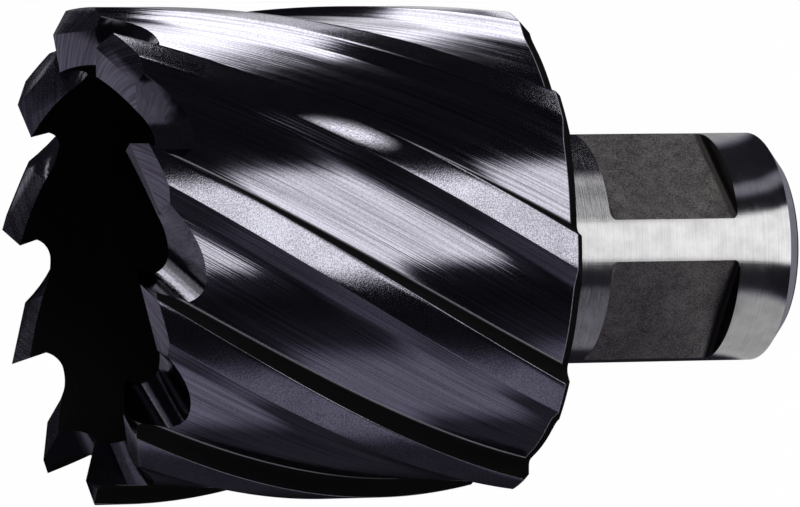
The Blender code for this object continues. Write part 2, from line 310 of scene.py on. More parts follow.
# Painted room and painted sheet that the steel mirrors
ROOM_RADIUS = 4.0
ROOM_STEPS = (240, 150)             # round it and from pole to pole
ROOM_LEVEL = 0.006                  # brightness of its unlit wall
SHEET_RADIUS = 75.0 * MM
SHEET_HOLE = 7.7 * MM               # radius of its hole, under the shank's end
SHEET_HEIGHT = 0.2 * MM
SHEET_RINGS = 60
SHEET_LEVEL = 0.012                 # brightness where it is unlit
DARK_TINT = (0.92, 0.86, 1.15)      # colour of dim light
TINT_FADE = (0.05, 0.4)             # brightness over which dim light turns white

# Lit patches of the room: first and last turn from the camera's side and their blur, low and high
# elevation and their blur, all in degrees, turn for each degree of elevation, and brightness
ROOM_PATCHES = (
    (-150.0, -50.0, 30.0, -60.0, 6.0, 12.0, 0.0, 0.02),       # lower side, wide and faint
    (-101.0, -61.0, 16.0, -27.5, -3.0, 6.0, -1.3, 0.14),      # lower side
    (-92.0, -52.0, 16.0, -4.0, 4.0, 4.0, 0.0, 0.065),         # lower side, near the horizon
    (-30.0, 26.0, 14.0, -12.0, -3.0, 5.0, 0.0, 0.03),         # over the middle of the body
    (-12.5, 32.5, 7.0, -25.0, -10.3, 3.0, -0.9, 0.98),        # middle of the body
    (-8.0, 41.0, 8.0, -27.5, -24.0, 3.0, -1.5, 0.88),         # the same, lower
    (69.0, 108.0, 5.0, -3.5, 5.0, 3.0, 0.0, 1.7),             # upper lands and flutes
    (80.0, 115.0, 5.0, -12.4, -2.5, 2.0, -1.9, 1.7),          # the same, lower
    (109.0, 138.0, 8.0, -18.4, -11.8, 2.0, -6.0, 1.7),        # the same, lowest
    (128.0, 152.0, 8.0, -19.4, -15.5, 2.0, 0.0, 0.8),         # top edge near the teeth
    (150.0, 186.0, 8.0, -21.5, -16.0, 2.0, 0.0, 0.3),         # top edge
    (158.0, 184.0, 6.0, -26.0, -20.5, 2.0, 0.0, 1.5),         # top edge near the shank
    (120.0, 180.0, 14.0, 6.0, 80.0, 10.0, 0.0, 0.02),         # behind, on the right
    (145.5, 152.0, 3.0, 30.0, 42.0, 6.0, 0.0, 1.0),           # glint on the left tooth
    (64.0, 90.0, 6.0, 5.0, 34.0, 4.0, 0.0, 2.2),              # tall soft box
    (60.0, 76.0, 6.0, 32.0, 50.0, 6.0, 0.0, 1.2),             # its top
    (60.0, 76.0, 6.0, 48.0, 72.0, 6.0, 0.0, 0.47),            # over it
    (-180.0, -120.0, 14.0, 5.0, 70.0, 8.0, 0.0, 0.2),         # behind, on the left
    (-125.0, -55.0, 14.0, 28.0, 68.0, 8.0, 0.0, 0.17),        # left
    (-112.0, -55.0, 14.0, 4.0, 30.0, 6.0, 0.0, 0.07),         # left, low
    (-60.0, -34.0, 12.0, -2.0, 12.0, 5.0, 0.0, 0.045),        # left of the camera
    (-34.0, -14.0, 12.0, -2.0, 12.0, 5.0, 0.0, 0.018),        # nearer the camera
    (-4.0, 15.0, 5.0, 11.0, 21.0, 4.0, 0.0, 0.4),             # over the camera
    (-4.0, 15.0, 5.0, 19.0, 31.0, 4.0, 0.0, 0.15),            # higher over the camera
)

# Lit patches of the sheet: turns as above, near and far limit and their blur in millimetres from the
# axis, turn for each millimetre, and brightness
SHEET_PATCHES = (
    (-118.0, -56.0, 24.0, 58.0, 200.0, 10.0, 0.0, 0.06),      # lower flutes
    (-13.0, 36.0, 12.0, 65.0, 200.0, 8.0, 0.0, 0.9),          # middle of the body
    (10.0, 72.0, 14.0, 52.0, 200.0, 14.0, 0.0, 0.9),          # flutes close beside the shank
    (118.0, 170.0, 12.0, 66.0, 200.0, 10.0, 0.0, 1.2),        # top edge near the shank
    (-112.0, -37.0, 8.0, 6.0, 25.0, 6.0, 0.0, 0.4),           # lower side of the shank
    (-112.0, -37.0, 8.0, 47.0, 54.0, 6.0, 0.0, 0.3),          # lower side of its neck
    (-105.0, -60.0, 20.0, 28.0, 44.0, 6.0, 0.0, 0.07),        # lower flat
    (65.0, 105.0, 20.0, 28.0, 44.0, 6.0, 0.0, 0.06),          # upper flat
    (100.0, 170.0, 20.0, 6.0, 24.0, 6.0, 0.0, 0.33),          # upper side of the shank
    (41.0, 51.0, 5.0, 10.0, 30.0, 8.0, 0.0, 0.22),            # line above the shank's highlight
    (47.0, 60.0, 5.0, 45.0, 58.0, 6.0, 0.0, 0.22),            # the same line on the neck
    (-11.5, 25.0, 3.0, 6.0, 60.0, 8.0, 0.0, 1.05),            # the shank's highlight
    (-190.0, 190.0, 4.0, 0.0, 9.3, 0.6, 0.0, 0.2),            # the shank's end chamfer
)


def sizes():
    """The cutter's sizes."""
    return bpy.context.scene.cutter_sizes


def finishes():
    """The cutter's colours."""
    return bpy.context.scene.cutter_finishes


def stage():
    """The stage's settings."""
    return bpy.context.scene.stage_settings


def polar(radius, angle, height=0.0):
    """A point at a radius and a turn in degrees round the axis."""
    turn = math.radians(angle)
    return Vector((radius * math.cos(turn), radius * math.sin(turn), height))


def arc(centre, radius, start, end, steps):
    """Points of an arc as (radius, height) pairs, both ends included."""
    turns = [math.radians(start + (end - start) * step / steps) for step in range(steps + 1)]
    return [
        (centre[0] + radius * math.cos(turn), centre[1] + radius * math.sin(turn)) for turn in turns]


class Value:
    """A number on the surface. Sums, products and comparisons on it add the Math nodes they need."""

    def __init__(self, recipe, socket):
        self.recipe = recipe
        self.socket = socket

    def math(self, operation, *others):
        """A Math node on this value and others."""
        return self.recipe.node('ShaderNodeMath', {"operation": operation}, (self, *others))

    def __add__(self, other):
        return self.math('ADD', other)

    def __sub__(self, other):
        return self.math('SUBTRACT', other)

    def __mul__(self, other):
        return self.math('MULTIPLY', other)

    def __truediv__(self, other):
        return self.math('DIVIDE', other)

    def __rsub__(self, other):
        return self.recipe.node('ShaderNodeMath', {"operation": 'SUBTRACT'}, (other, self))

    __radd__ = __add__
    __rmul__ = __mul__

    def rise(self, low, high):
        """Nought below one value and one above the other, with a smooth step between them."""
        return self.recipe.node(
            'ShaderNodeMapRange', {"interpolation_type": 'SMOOTHSTEP', "clamp": True},
            {"Value": self, "From Min": low, "From Max": high})

    def around(self, middle, spread):
        """A number that noise from nought to one spreads round a middle."""
        return middle + (self - 0.5) * spread


class Recipe:
    """One material, or the world, and its nodes."""

    def __init__(self, name, kind="materials", shader="Principled BSDF"):
        self.owner = getattr(bpy.data, kind).new(name)
        self.owner.use_nodes = True
        self.tree = self.owner.node_tree
        self.shader = self.tree.nodes[shader]

    def link(self, value, socket):
        """Feed a socket from a value, or set it."""
        if isinstance(value, Value):
            self.tree.links.new(value.socket, socket)
        elif socket.type == 'RGBA':
            socket.default_value = (*value, 1.0)
        else:
            socket.default_value = value

    def node(self, kind, settings=None, values=(), output=0):
        """A node with its settings and its inputs, by place or by name; gives one of its outputs."""
        made = self.tree.nodes.new(kind)
        for name, setting in (settings or {}).items():
            setattr(made, name, setting)
        named = values.items() if isinstance(values, dict) else enumerate(values)
        for name, value in named:
            self.link(value, made.inputs[name])
        return Value(self, made.outputs[output])

    def places(self):
        """The three object coordinates in millimetres."""
        coordinates = self.node('ShaderNodeTexCoord', output="Object")
        millimetres = self.node(
            'ShaderNodeVectorMath', {"operation": 'SCALE'}, {0: coordinates, "Scale": 1 / MM})
        return [self.node('ShaderNodeSeparateXYZ', None, (millimetres,), axis) for axis in range(3)]

    def noise(self, x, y, z, detail=2.0, roughness=0.5):
        """Smooth noise at a point given by three values, of about one unit's grain."""
        point = self.node('ShaderNodeCombineXYZ', None, (x, y, z))
        return self.node(
            'ShaderNodeTexNoise', None,
            {"Vector": point, "Scale": 1.0, "Detail": detail, "Roughness": roughness})

    def grain(self, places, size, detail=2.0, roughness=0.5):
        """Noise at three places, with grain of one size every way or of a size for each place."""
        spans = size if isinstance(size, tuple) else (size,) * 3
        shares = [place / span for place, span in zip(places, spans)]
        return self.noise(*shares, detail=detail, roughness=roughness)

    def blend(self, share, first, second):
        """A colour between two, by a share from nought to one."""
        return self.node(
            'ShaderNodeMix', {"data_type": 'RGBA'}, {0: share, 6: first, 7: second}, output=2)

    def shaded(self, noise, colour, low, high, dark, light):
        """A colour between a dark and a light shade of it, as noise goes from low to high."""
        return self.blend(noise.rise(low, high), scaled(colour, dark), scaled(colour, light))

    def mix(self, share, first, second):
        """A number between two, by a share from nought to one."""
        return first + (second - first) * share

    def bump(self, height, distance):
        """Raise the surface by a height from nought to one times a distance."""
        normal = self.node('ShaderNodeBump', None, {"Distance": distance, "Height": height})
        self.link(normal, self.shader.inputs["Normal"])

    def surface(self, **channels):
        """Feed or set the shader's own sockets."""
        for name, value in channels.items():
            self.link(value, self.shader.inputs[name.replace("_", " ")])
        return self.owner

    def output(self, value):
        """Feed the material's output from another shader than its own."""
        self.link(value, self.tree.nodes["Material Output"].inputs["Surface"])
        return self.owner


def helix_places(recipe):
    """Which tooth's flute a point is in, how far across its pitch, and its three coordinates."""
    x, y, z = recipe.places()
    turn = y.math('ARCTAN2', x)
    twist = math.radians(twist_per_metre()) * MM
    root = sizes().shank_length / MM
    lead = turn - twist * (z - root) - math.radians(FLUTE_PHASE)
    share = lead / math.radians(pitch()) + FIRST_TOOTH
    tooth = share.math('FLOOR')
    return tooth, share - tooth, (x, y, z)


def radius_of(x, y):
    """Distance from the axis in millimetres."""
    return (x * x + y * y).math('SQRT')


def scaled(colour, factor):
    """A colour made lighter or darker."""
    return tuple(min(1.0, channel * factor) for channel in colour)


def coating_material():
    """Dark coated steel: long grinding lines along the flutes, a finer grain on the lands, and painted
    shade in the deep corners and at the rear.
    """
    look = finishes()
    recipe = Recipe("coated_steel")
    tooth, across, (x, y, z) = helix_places(recipe)
    side = across * (math.radians(pitch()) * BODY_RADIUS / MM)

    def lines_of(width, length, seed_step, seed_start, **detail):
        """Lines along the flutes, different on each tooth."""
        return recipe.noise(side / width, z / length, tooth * seed_step + seed_start, **detail)

    hair = lines_of(*HAIR_LINE, detail=1.0, roughness=0.6)
    line = lines_of(*GRINDING_LINE, detail=1.0, roughness=0.6)
    broad = lines_of(*BROAD_LINE)
    grain = recipe.grain((x, y, z), LAND_GRAIN, detail=1.0, roughness=0.7)
    cloud = recipe.grain((x, y, z), COATING_CLOUD)
    land = radius_of(x, y).rise(*(BODY_RADIUS / MM - depth for depth in LAND_FADE))
    # Painted shade: each flute's deep corner and wall, off the lands, and the body's lowest half
    # millimetre over its rear face go near black and matt
    corner = 1.0 - across.rise(CORNER_SHARE * (1 - CORNER_FADE), CORNER_SHARE * (1 + CORNER_FADE))
    rear = 1.0 - z.rise(*(sizes().shank_length / MM + height for height in REAR_FADE))
    painted_shade = (corner * (1.0 - land)).math('MAXIMUM', rear)

    lines = recipe.mix(HAIR_SHARE, line, hair)
    streaks = recipe.mix(FLUTE_GRAIN_SHARE, recipe.mix(BROAD_SHARE, lines, broad), grain)
    light = recipe.mix(land, streaks, recipe.mix(LAND_GRAIN_SHARE, cloud, grain))
    colour = recipe.shaded(light, look.coating, *COATING_SHADES)
    # painted shade in the deep corners and at the rear
    colour = recipe.blend(painted_shade, colour, scaled(look.coating, PAINTED_SHADE_SHARE))
    broad_spread, line_spread = FLUTE_ROUGHNESS_SPREADS
    flute_roughness = lines.around(broad.around(look.coating_roughness, broad_spread), line_spread)
    land_roughness = grain.around(look.land_roughness, LAND_ROUGHNESS_SPREAD)
    recipe.bump(recipe.mix(land, lines, grain * LAND_BUMP_SHARE), COATING_BUMP)
    return recipe.surface(
        Base_Color=colour, Metallic=1.0 - painted_shade, Specular_IOR_Level=COATING_SPECULAR,
        Roughness=recipe.mix(
            painted_shade, recipe.mix(land, flute_roughness, land_roughness), PAINTED_SHADE_ROUGHNESS))


def relief_material():
    """The ground relief behind each cutting edge, with slanting wheel marks."""
    recipe = Recipe("ground_relief")
    x, y, z = recipe.places()
    radius = radius_of(x, y)
    slant = y.math('ARCTAN2', x) * (BODY_RADIUS / MM) + radius
    marks = recipe.grain((slant, z, radius), WHEEL_MARK, detail=1.0)
    grain = recipe.grain((x, y, z), RELIEF_GRAIN, roughness=0.7)
    height = recipe.mix(RELIEF_GRAIN_SHARE, marks, grain)
    recipe.bump(height, RELIEF_BUMP)
    return recipe.surface(
        Base_Color=recipe.shaded(height, finishes().tooth, *RELIEF_SHADES), Metallic=1.0,
        Roughness=grain.around(*RELIEF_ROUGHNESS))


def gullet_material(name, shade):
    """The smooth rounds in front of the teeth, with fine lines along their length."""
    recipe = Recipe(name)
    x, y, z = recipe.places()
    arc_length = y.math('ARCTAN2', x) * (BODY_RADIUS / MM)
    lines = recipe.grain((arc_length, z, radius_of(x, y)), GULLET_LINE)
    cloud = recipe.grain((x, y, z), GULLET_CLOUD)
    recipe.bump(lines, GULLET_BUMP)
    return recipe.surface(
        Base_Color=recipe.shaded(lines, scaled(finishes().coating, shade), *GULLET_SHADES),
        Metallic=1.0, Roughness=cloud.around(*GULLET_ROUGHNESS))


def cavity_material():
    """Dark scale on the inside of the cavity and the pilot bore, darkened to near black as painted shade
    in the hollow.
    """
    recipe = Recipe("dark_scale_and_painted_shade")
    rings = recipe.grain(recipe.places(), CAVITY_RING)
    recipe.bump(rings, CAVITY_BUMP)
    return recipe.surface(
        Base_Color=recipe.shaded(rings, finishes().cavity, *CAVITY_SHADES), Metallic=0.0,
        Specular_IOR_Level=CAVITY_SPECULAR, Roughness=rings.around(*CAVITY_ROUGHNESS))


def shank_material():
    """Bare steel with the fine rings that grinding leaves, a little cloudy."""
    recipe = Recipe("ground_shank_steel")
    places = recipe.places()
    rings = recipe.grain(places, SHANK_RING, detail=3.0, roughness=0.7)
    bands = recipe.grain(places, SHANK_BAND)
    cloud = recipe.grain(places, SHANK_CLOUD, detail=3.0)
    light = recipe.mix(SHANK_CLOUD_SHARE, rings, cloud)
    recipe.bump(recipe.mix(SHANK_BAND_SHARE, rings, bands), SHANK_BUMP)
    return recipe.surface(
        Base_Color=recipe.shaded(light, finishes().shank, *SHANK_SHADES), Metallic=1.0,
        Roughness=cloud.around(rings.around(*SHANK_ROUGHNESS), SHANK_CLOUD_SPREAD))


def flat_material():
    """The milled clamping flats: a mottled matt grey, with painted shade at their end walls."""
    look = finishes()
    recipe = Recipe("milled_flat_steel")
    places = recipe.places()
    height = places[2]
    speck = recipe.grain(places, FLAT_SPECK, roughness=0.6)
    mottle = recipe.grain(places, FLAT_MOTTLE, detail=3.0, roughness=0.6)
    cloud = recipe.grain(places, FLAT_CLOUD)
    patches = mottle * (1 - FLAT_CLOUD_SHARE) + cloud * FLAT_CLOUD_SHARE
    light = recipe.mix(FLAT_PATCH_SHARE, speck, patches)
    start = FLAT_START / MM
    end = start + sizes().flat_length / MM
    past_start = height.rise(*(start + distance for distance in FLAT_START_FADE))
    past_end = height.rise(*(end - distance for distance in FLAT_END_FADE))
    # painted shade at both ends of each flat, over its end walls
    colour = recipe.blend(
        past_start * (1.0 - past_end), scaled(look.flat, FLAT_END_PAINTED_SHADE),
        recipe.shaded(light, look.flat, *FLAT_SHADES))
    recipe.bump(light, FLAT_BUMP)
    return recipe.surface(Base_Color=colour, Metallic=1.0, Roughness=mottle.around(*FLAT_ROUGHNESS))


def pitch():
    """Turn from one tooth to the next."""
    return 360.0 / sizes().teeth


def twist_per_metre():
    """Turn of the flutes for each metre along the axis."""
    return math.degrees(math.tan(sizes().helix_angle) / BODY_RADIUS)


def cavity_radius():
    """Radius of the cavity's wall."""
    return BODY_RADIUS - sizes().wall_thickness


def new_object(name, shape):
    """Store a bmesh in an object at the origin, and free it."""
    bmesh.ops.recalc_face_normals(shape, faces=shape.faces)
    mesh = bpy.data.meshes.new(name)
    shape.to_mesh(mesh)
    shape.free()
    item = bpy.data.objects.new(name, mesh)
    bpy.context.scene.collection.objects.link(item)
    return item


def paint(shape, role):
    """Give every face of a bmesh the same role."""
    for face in shape.faces:
        face.material_index = role


def revolve(shape, profile, closed=False):
    """Turn (radius, height) pairs once round the axis, as a line or, where closed, as a loop."""
    points = [shape.verts.new((radius, 0.0, height)) for radius, height in profile]
    ends = points[1:] + points[:1] if closed else points[1:]
    wires = [shape.edges.new(pair) for pair in zip(points, ends)]
    bmesh.ops.spin(
        shape, geom=points + wires, cent=(0, 0, 0), axis=(0, 0, 1), angle=math.tau,
        steps=TURNING_STEPS, use_merge=True, use_duplicate=False)


def turned(name, profile, role):
    """A closed solid turned from (radius, height) pairs, the first and last of them on the axis."""
    shape = bmesh.new()
    revolve(shape, profile)
    bmesh.ops.remove_doubles(shape, verts=shape.verts, dist=MERGE_DISTANCE)
    paint(shape, role)
    return new_object(name, shape)


def turned_ring(name, profile, role):
    """A closed ring turned from (radius, height) pairs that go once round its section."""
    shape = bmesh.new()
    revolve(shape, profile, closed=True)
    paint(shape, role)
    return new_object(name, shape)


def pitch_outline():
    """One land and the flute behind it, as two lists of points at the rear face."""
    size = sizes()
    lead = FLUTE_PHASE
    heel = lead - math.degrees(size.land_width / BODY_RADIUS)
    heel_foot = heel - math.degrees(HEEL_WIDTH / BODY_RADIUS)
    next_lead = lead - pitch()

    land = []
    for step in range(LAND_STEPS + 1):
        land.append(polar(BODY_RADIUS, lead + (heel - lead) * step / LAND_STEPS))

    outward = polar(1.0, next_lead)
    along = Vector((-outward.y, outward.x, 0.0))
    lean = math.radians(FLUTE_WALL_LEAN)
    wall = outward * math.cos(lean) - along * math.sin(lean)
    wall_foot = outward * BODY_RADIUS - wall * (size.flute_depth / math.cos(lean))
    opening = math.radians(90.0 + FLUTE_WALL_LEAN)
    reach = FLUTE_CORNER_RADIUS / math.tan(opening / 2)
    centre = wall_foot + along * reach + outward * FLUTE_CORNER_RADIUS
    corner = []
    for step in range(DEEP_CORNER_STEPS + 1):
        turn = (math.pi - opening) * step / DEEP_CORNER_STEPS
        spoke = -outward * math.cos(turn) - along * math.sin(turn)
        corner.append(centre + spoke * FLUTE_CORNER_RADIUS)

    facet_radius = BODY_RADIUS - HEEL_DEPTH
    floor_radius = BODY_RADIUS - size.flute_depth
    floor_end = math.degrees(math.atan2(corner[0].y, corner[0].x))
    foot = polar(facet_radius, heel_foot)

    def floor_point(share):
        """A point of the flute's floor, between the heel's foot and the deep corner."""
        return polar(
            facet_radius + (floor_radius - facet_radius) * share,
            heel_foot + (floor_end - heel_foot) * share)

    blend_share = FLOOR_BLEND / (floor_point(1.0) - foot).length
    start = foot.lerp(land[-1], HEEL_BLEND / (land[-1] - foot).length)
    end = floor_point(blend_share)
    floor = []
    for step in range(HEEL_BLEND_STEPS + 1):
        share = step / HEEL_BLEND_STEPS
        floor.append(start.lerp(foot, share).lerp(foot.lerp(end, share), share))
    for step in range(1, FLOOR_STEPS):
        floor.append(floor_point(blend_share + (1.0 - blend_share) * step / FLOOR_STEPS))
    return land, floor + corner


def fluted_column():
    """The body's outside as a twisted column, from its rear face to above the teeth."""
    size = sizes()
    start = size.shank_length
    height = OVERALL_LENGTH + OVERRUN - start
    twist = twist_per_metre() * height
    steps = math.ceil(twist / COLUMN_TURN_STEP)
    shape = bmesh.new()
    outline = []
    convex = []
    land, rest = pitch_outline()
    for tooth in range(size.teeth):
        turn = math.radians(-pitch() * tooth)
        place = Matrix.Translation((0, 0, start)) @ Matrix.Rotation(turn, 4, 'Z')
        land_points = [shape.verts.new(place @ point) for point in land]
        convex += [land_points[0], land_points[-1]]
        outline += land_points + [shape.verts.new(place @ point) for point in rest]
    shape.faces.new(outline)
    bmesh.ops.bevel(
        shape, geom=convex, offset=size.edge_round, offset_type='OFFSET',
        segments=EDGE_ROUND_SEGMENTS, profile=0.5, affect='VERTICES', material=-1)
    section = shape.faces[:][0]
    bmesh.ops.spin(
        shape, geom=[section] + section.edges[:] + section.verts[:], cent=(0, 0, 0),
        axis=(0, 0, 1), dvec=(0, 0, height / steps), angle=math.radians(twist),
        steps=steps, use_duplicate=False)
    paint(shape, COATING)
    return new_object("cutter", shape)


def shank_bar():
    """The shank with its end chamfer and the round where it runs into the body."""
    size = sizes()
    radius = size.shank_diameter / 2
    root = size.shank_length
    profile = [(0.0, 0.0), (radius - SHANK_END_CHAMFER[0], 0.0), (radius, SHANK_END_CHAMFER[1])]
    profile += reversed(arc(
        (radius + ROOT_FILLET, root - ROOT_FILLET), ROOT_FILLET, 90.0, 180.0, ROOT_FILLET_STEPS))
    profile += [(radius + ROOT_FILLET, root + OVERRUN), (0.0, root + OVERRUN)]
    return turned("shank_bar", profile, SHANK)


def core():
    """The cavity and the pilot bore as one turned core."""
    floor = sizes().shank_length + CAVITY_FLOOR_THICKNESS
    radius = cavity_radius()
    fillet = CAVITY_FLOOR_FILLET
    bore = BORE_DIAMETER / 2
    top = OVERALL_LENGTH + 2 * OVERRUN
    profile = [
        (0.0, -OVERRUN), (bore + BORE_COUNTERSINK + OVERRUN, -OVERRUN),
        (bore, BORE_COUNTERSINK), (bore, floor)]
    profile += arc((radius - fillet, floor + fillet), fillet, 270.0, 360.0, CAVITY_FLOOR_STEPS)
    profile += [(radius, top), (0.0, top)]
    return turned("core", profile, CAVITY)


def rear_chamfer():
    """A ring that takes the chamfer off the body's rear edge."""
    root = sizes().shank_length
    inside = BODY_RADIUS - REAR_CHAMFER - OVERRUN
    outside = BODY_RADIUS + OVERRUN
    profile = [
        (inside, root - OVERRUN), (outside, root + REAR_CHAMFER + OVERRUN), (outside, root - OVERRUN)]
    return turned_ring("rear_chamfer", profile, COATING)


def flat_bar(turn):
    """A bar that mills one clamping flat, with rounded corners where it leaves the steel."""
    size = sizes()
    flat_radius = size.shank_diameter / 2 - size.flat_depth
    depth = size.flat_depth * 2
    shape = bmesh.new()
    bmesh.ops.create_cube(shape, size=1.0)
    bmesh.ops.scale(shape, vec=(depth, size.shank_diameter, size.flat_length), verts=shape.verts)
    bmesh.ops.translate(
        shape, vec=(flat_radius + depth / 2, 0.0, FLAT_START + size.flat_length / 2),
        verts=shape.verts)
    floor_ends = [
        edge for edge in shape.edges
        if all(abs(corner.co.x - flat_radius) < MATCH_TOLERANCE for corner in edge.verts)
        and abs(edge.verts[0].co.z - edge.verts[1].co.z) < MATCH_TOLERANCE]
    bmesh.ops.bevel(
        shape, geom=floor_ends, offset=FLAT_CORNER_RADIUS, offset_type='OFFSET',
        segments=FLAT_CORNER_SEGMENTS, profile=0.5, affect='EDGES', material=-1)
    bmesh.ops.rotate(
        shape, cent=(0, 0, 0), matrix=Matrix.Rotation(math.radians(turn), 3, 'Z'),
        verts=shape.verts)
    paint(shape, FLAT)
    return new_object("flat_%d" % round(turn), shape)


def edge_height(radius):
    """Height of a cutting edge at a radius: a low roof with its ridge near the outside."""
    ridge = BODY_RADIUS - EDGE_RIDGE_INSET
    if radius > ridge:
        fall = OUTER_EDGE_DROP * (radius - ridge) / (BODY_RADIUS - ridge)
    else:
        fall = INNER_EDGE_DROP * (ridge - radius) / (ridge - cavity_radius())
    return OVERALL_LENGTH - fall


def face_lead(radius, height):
    """How far a tooth face lies ahead of its outer corner, as a length along the circumference."""
    inward = (BODY_RADIUS - radius) * math.tan(math.radians(RADIAL_RAKE))
    upward = (height - edge_height(BODY_RADIUS)) * math.tan(math.radians(AXIAL_RAKE))
    return inward + upward


def tooth_outline(radius):
    """One tooth's back and gullet, unrolled: turns, heights and the role of each stretch."""
    pitch_length = math.radians(pitch()) * radius
    tip = edge_height(radius)
    edge = face_lead(radius, tip)
    knee = -math.radians(RELIEF_SPAN) * radius
    knee_height = tip - (edge - knee) * math.tan(math.radians(RELIEF_ANGLE))
    fall = (radius - cavity_radius()) * math.tan(math.radians(GULLET_FLOOR_SLOPE))
    floor = OVERALL_LENGTH - GULLET_DEPTH_INNER - fall

    lean = math.radians(AXIAL_RAKE)
    centre_height = floor + GULLET_CORNER_RADIUS
    touch_height = centre_height - GULLET_CORNER_RADIUS * math.sin(lean)
    centre = face_lead(radius, touch_height) - pitch_length + GULLET_CORNER_RADIUS * math.cos(lean)
    control = (knee + centre) / 2

    points = [(edge, tip, RELIEF)]
    for step in range(GULLET_BACK_STEPS):
        share = step / GULLET_BACK_STEPS
        place = (1 - share) ** 2 * knee + 2 * share * (1 - share) * control + share ** 2 * centre
        height = (1 - share) ** 2 * knee_height + (1 - (1 - share) ** 2) * floor
        points.append((place, height, GULLET))
    rounded = arc(
        (centre, centre_height), GULLET_CORNER_RADIUS, 270.0, 180.0 + AXIAL_RAKE,
        GULLET_CORNER_STEPS)
    points += [(place, height, GULLET) for place, height in rounded[:-1]]
    points.append((*rounded[-1], TOOTH_FACE))
    return [(math.degrees(place / radius), height, role) for place, height, role in points]


def crown():
    """The space in front of the teeth as one ring: tooth backs, gullets and tooth faces below it."""
    size = sizes()
    inner = cavity_radius()
    ridge = BODY_RADIUS - EDGE_RIDGE_INSET
    stations = [
        inner - OVERRUN, inner, (inner + ridge) / 2, ridge, (ridge + BODY_RADIUS) / 2, BODY_RADIUS,
        BODY_RADIUS + OVERRUN]
    ceiling = OVERALL_LENGTH + 2 * OVERRUN
    first = FLUTE_PHASE + twist_per_metre() * (edge_height(BODY_RADIUS) - size.shank_length)
    shape = bmesh.new()

    def ring(radius, height=None):
        """The tooth outlines at one radius, joined into a closed ring of vertices and edges."""
        points = []
        for tooth in range(size.teeth):
            for turn, level, _ in tooth_outline(radius):
                place = level if height is None else height
                points.append(shape.verts.new(polar(radius, first - pitch() * tooth + turn, place)))
        return [shape.edges.new(pair) for pair in zip(points, points[1:] + points[:1])]

    rings = [ring(stations[0], ceiling)]
    rings += [ring(radius) for radius in stations]
    rings.append(ring(stations[-1], ceiling))
    roles = [role for _, _, role in tooth_outline(BODY_RADIUS)] * size.teeth
    for lower, upper in zip(rings, rings[1:] + rings[:1]):
        for index, role in enumerate(roles):
            near, far = lower[index], upper[index]
            face = shape.faces.new((near.verts[0], near.verts[1], far.verts[1], far.verts[0]))
            face.material_index = role
    bmesh.ops.triangulate(shape, faces=shape.faces)
    return new_object("crown", shape)


def combine(item, tool, operation):
    """Join a tool to the cutter, or take it out of it, once the shape is baked."""
    step = item.modifiers.new(tool.name, 'BOOLEAN')
    step.operation = operation
    step.solver = 'EXACT'
    step.object = tool
    step.material_mode = 'INDEX'


def baked(item, tools):
    """Make the cut shape the item's own mesh, and remove the tools."""
    evaluated = item.evaluated_get(bpy.context.evaluated_depsgraph_get())
    mesh = bpy.data.meshes.new_from_object(evaluated)
    item.modifiers.clear()
    item.data = mesh
    for tool in tools:
        bpy.data.objects.remove(tool, do_unlink=True)
    return mesh


class CUTTER_OT_mill(bpy.types.Operator):
    """Mill the cutter from its fluted column, shank, cavity, flats and crown of teeth"""

    bl_idname = "cutter.mill"
    bl_label = "Mill the cutter"

    def execute(self, context):
        """Join and cut the solids."""
        item = fluted_column()
        for material in (
                coating_material(), relief_material(), gullet_material("ground_gullet", GULLET_SHADE),
                gullet_material("tooth_face", TOOTH_FACE_SHADE), cavity_material(), shank_material(),
                flat_material()):
            item.data.materials.append(material)
        tools = [shank_bar(), core(), rear_chamfer()]
        tools += [flat_bar(turn) for turn in FLAT_TURNS]
        tools.append(crown())
        combine(item, tools[0], 'UNION')
        for tool in tools[1:]:
            combine(item, tool, 'DIFFERENCE')
        mesh = baked(item, tools)
        mesh.name = item.name
        mesh.shade_smooth()
        mesh.set_sharp_from_angle(angle=math.radians(SHARP_ANGLE))
        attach(item, "root")
        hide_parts(NODE)
        return {'FINISHED'}


def seen_from_camera(angle):
    """A turn round the axis for one given from the camera's side, up in the picture."""
    return math.degrees(stage().camera_turn) + angle


def place_camera():
    """The camera at the photograph's viewing angle, with the cutter's axis level in the picture."""
    setting = stage()
    turn = math.degrees(setting.camera_turn)
    aim = polar(setting.aim_side, turn + 90.0, setting.aim_height)
    elevation = setting.camera_elevation
    back = polar(math.cos(elevation), turn, math.sin(elevation))
    ahead = -back
    right = ahead.cross(polar(1.0, turn + 90.0)).normalized()
    up = right.cross(ahead)
    roll = Matrix.Rotation(setting.camera_roll, 4, 'Z')
    camera = bpy.data.objects.new("camera", bpy.data.cameras.new("camera"))
    bpy.context.scene.collection.objects.link(camera)
    axes = Matrix((right, up, back)).transposed().to_4x4()
    camera.matrix_world = Matrix.Translation(aim + back * setting.camera_distance) @ axes @ roll
    camera.data.sensor_width = SENSOR_WIDTH
    camera.data.lens = setting.focal_length
    camera.data.clip_start = CLIP_START
    bpy.context.scene.camera = camera


def area_lamp(name, shape, length, width, level, place):
    """An area lamp that the camera doesn't see; its level is the brightness of its face."""
    light = bpy.data.lights.new(name, 'AREA')
    light.shape = shape
    light.size = length
    light.size_y = width
    face = length * width * (math.pi / 4 if shape == 'ELLIPSE' else 1.0)
    light.energy = level * math.pi * face
    item = bpy.data.objects.new(name, light)
    bpy.context.scene.collection.objects.link(item)
    item.matrix_world = place
    item.visible_camera = False
    return item


def far_lamp(name, angle, elevation, size, level):
    """A square lamp far off that faces the cutter and isn't mirrored by the steel."""
    tilt = math.radians(elevation)
    back = polar(math.cos(tilt), seen_from_camera(angle), math.sin(tilt))
    place = Matrix.Translation(back * LAMP_DISTANCE) @ back.to_track_quat('Z', 'Y').to_matrix().to_4x4()
    area_lamp(name, 'RECTANGLE', size, size, level, place).visible_glossy = False


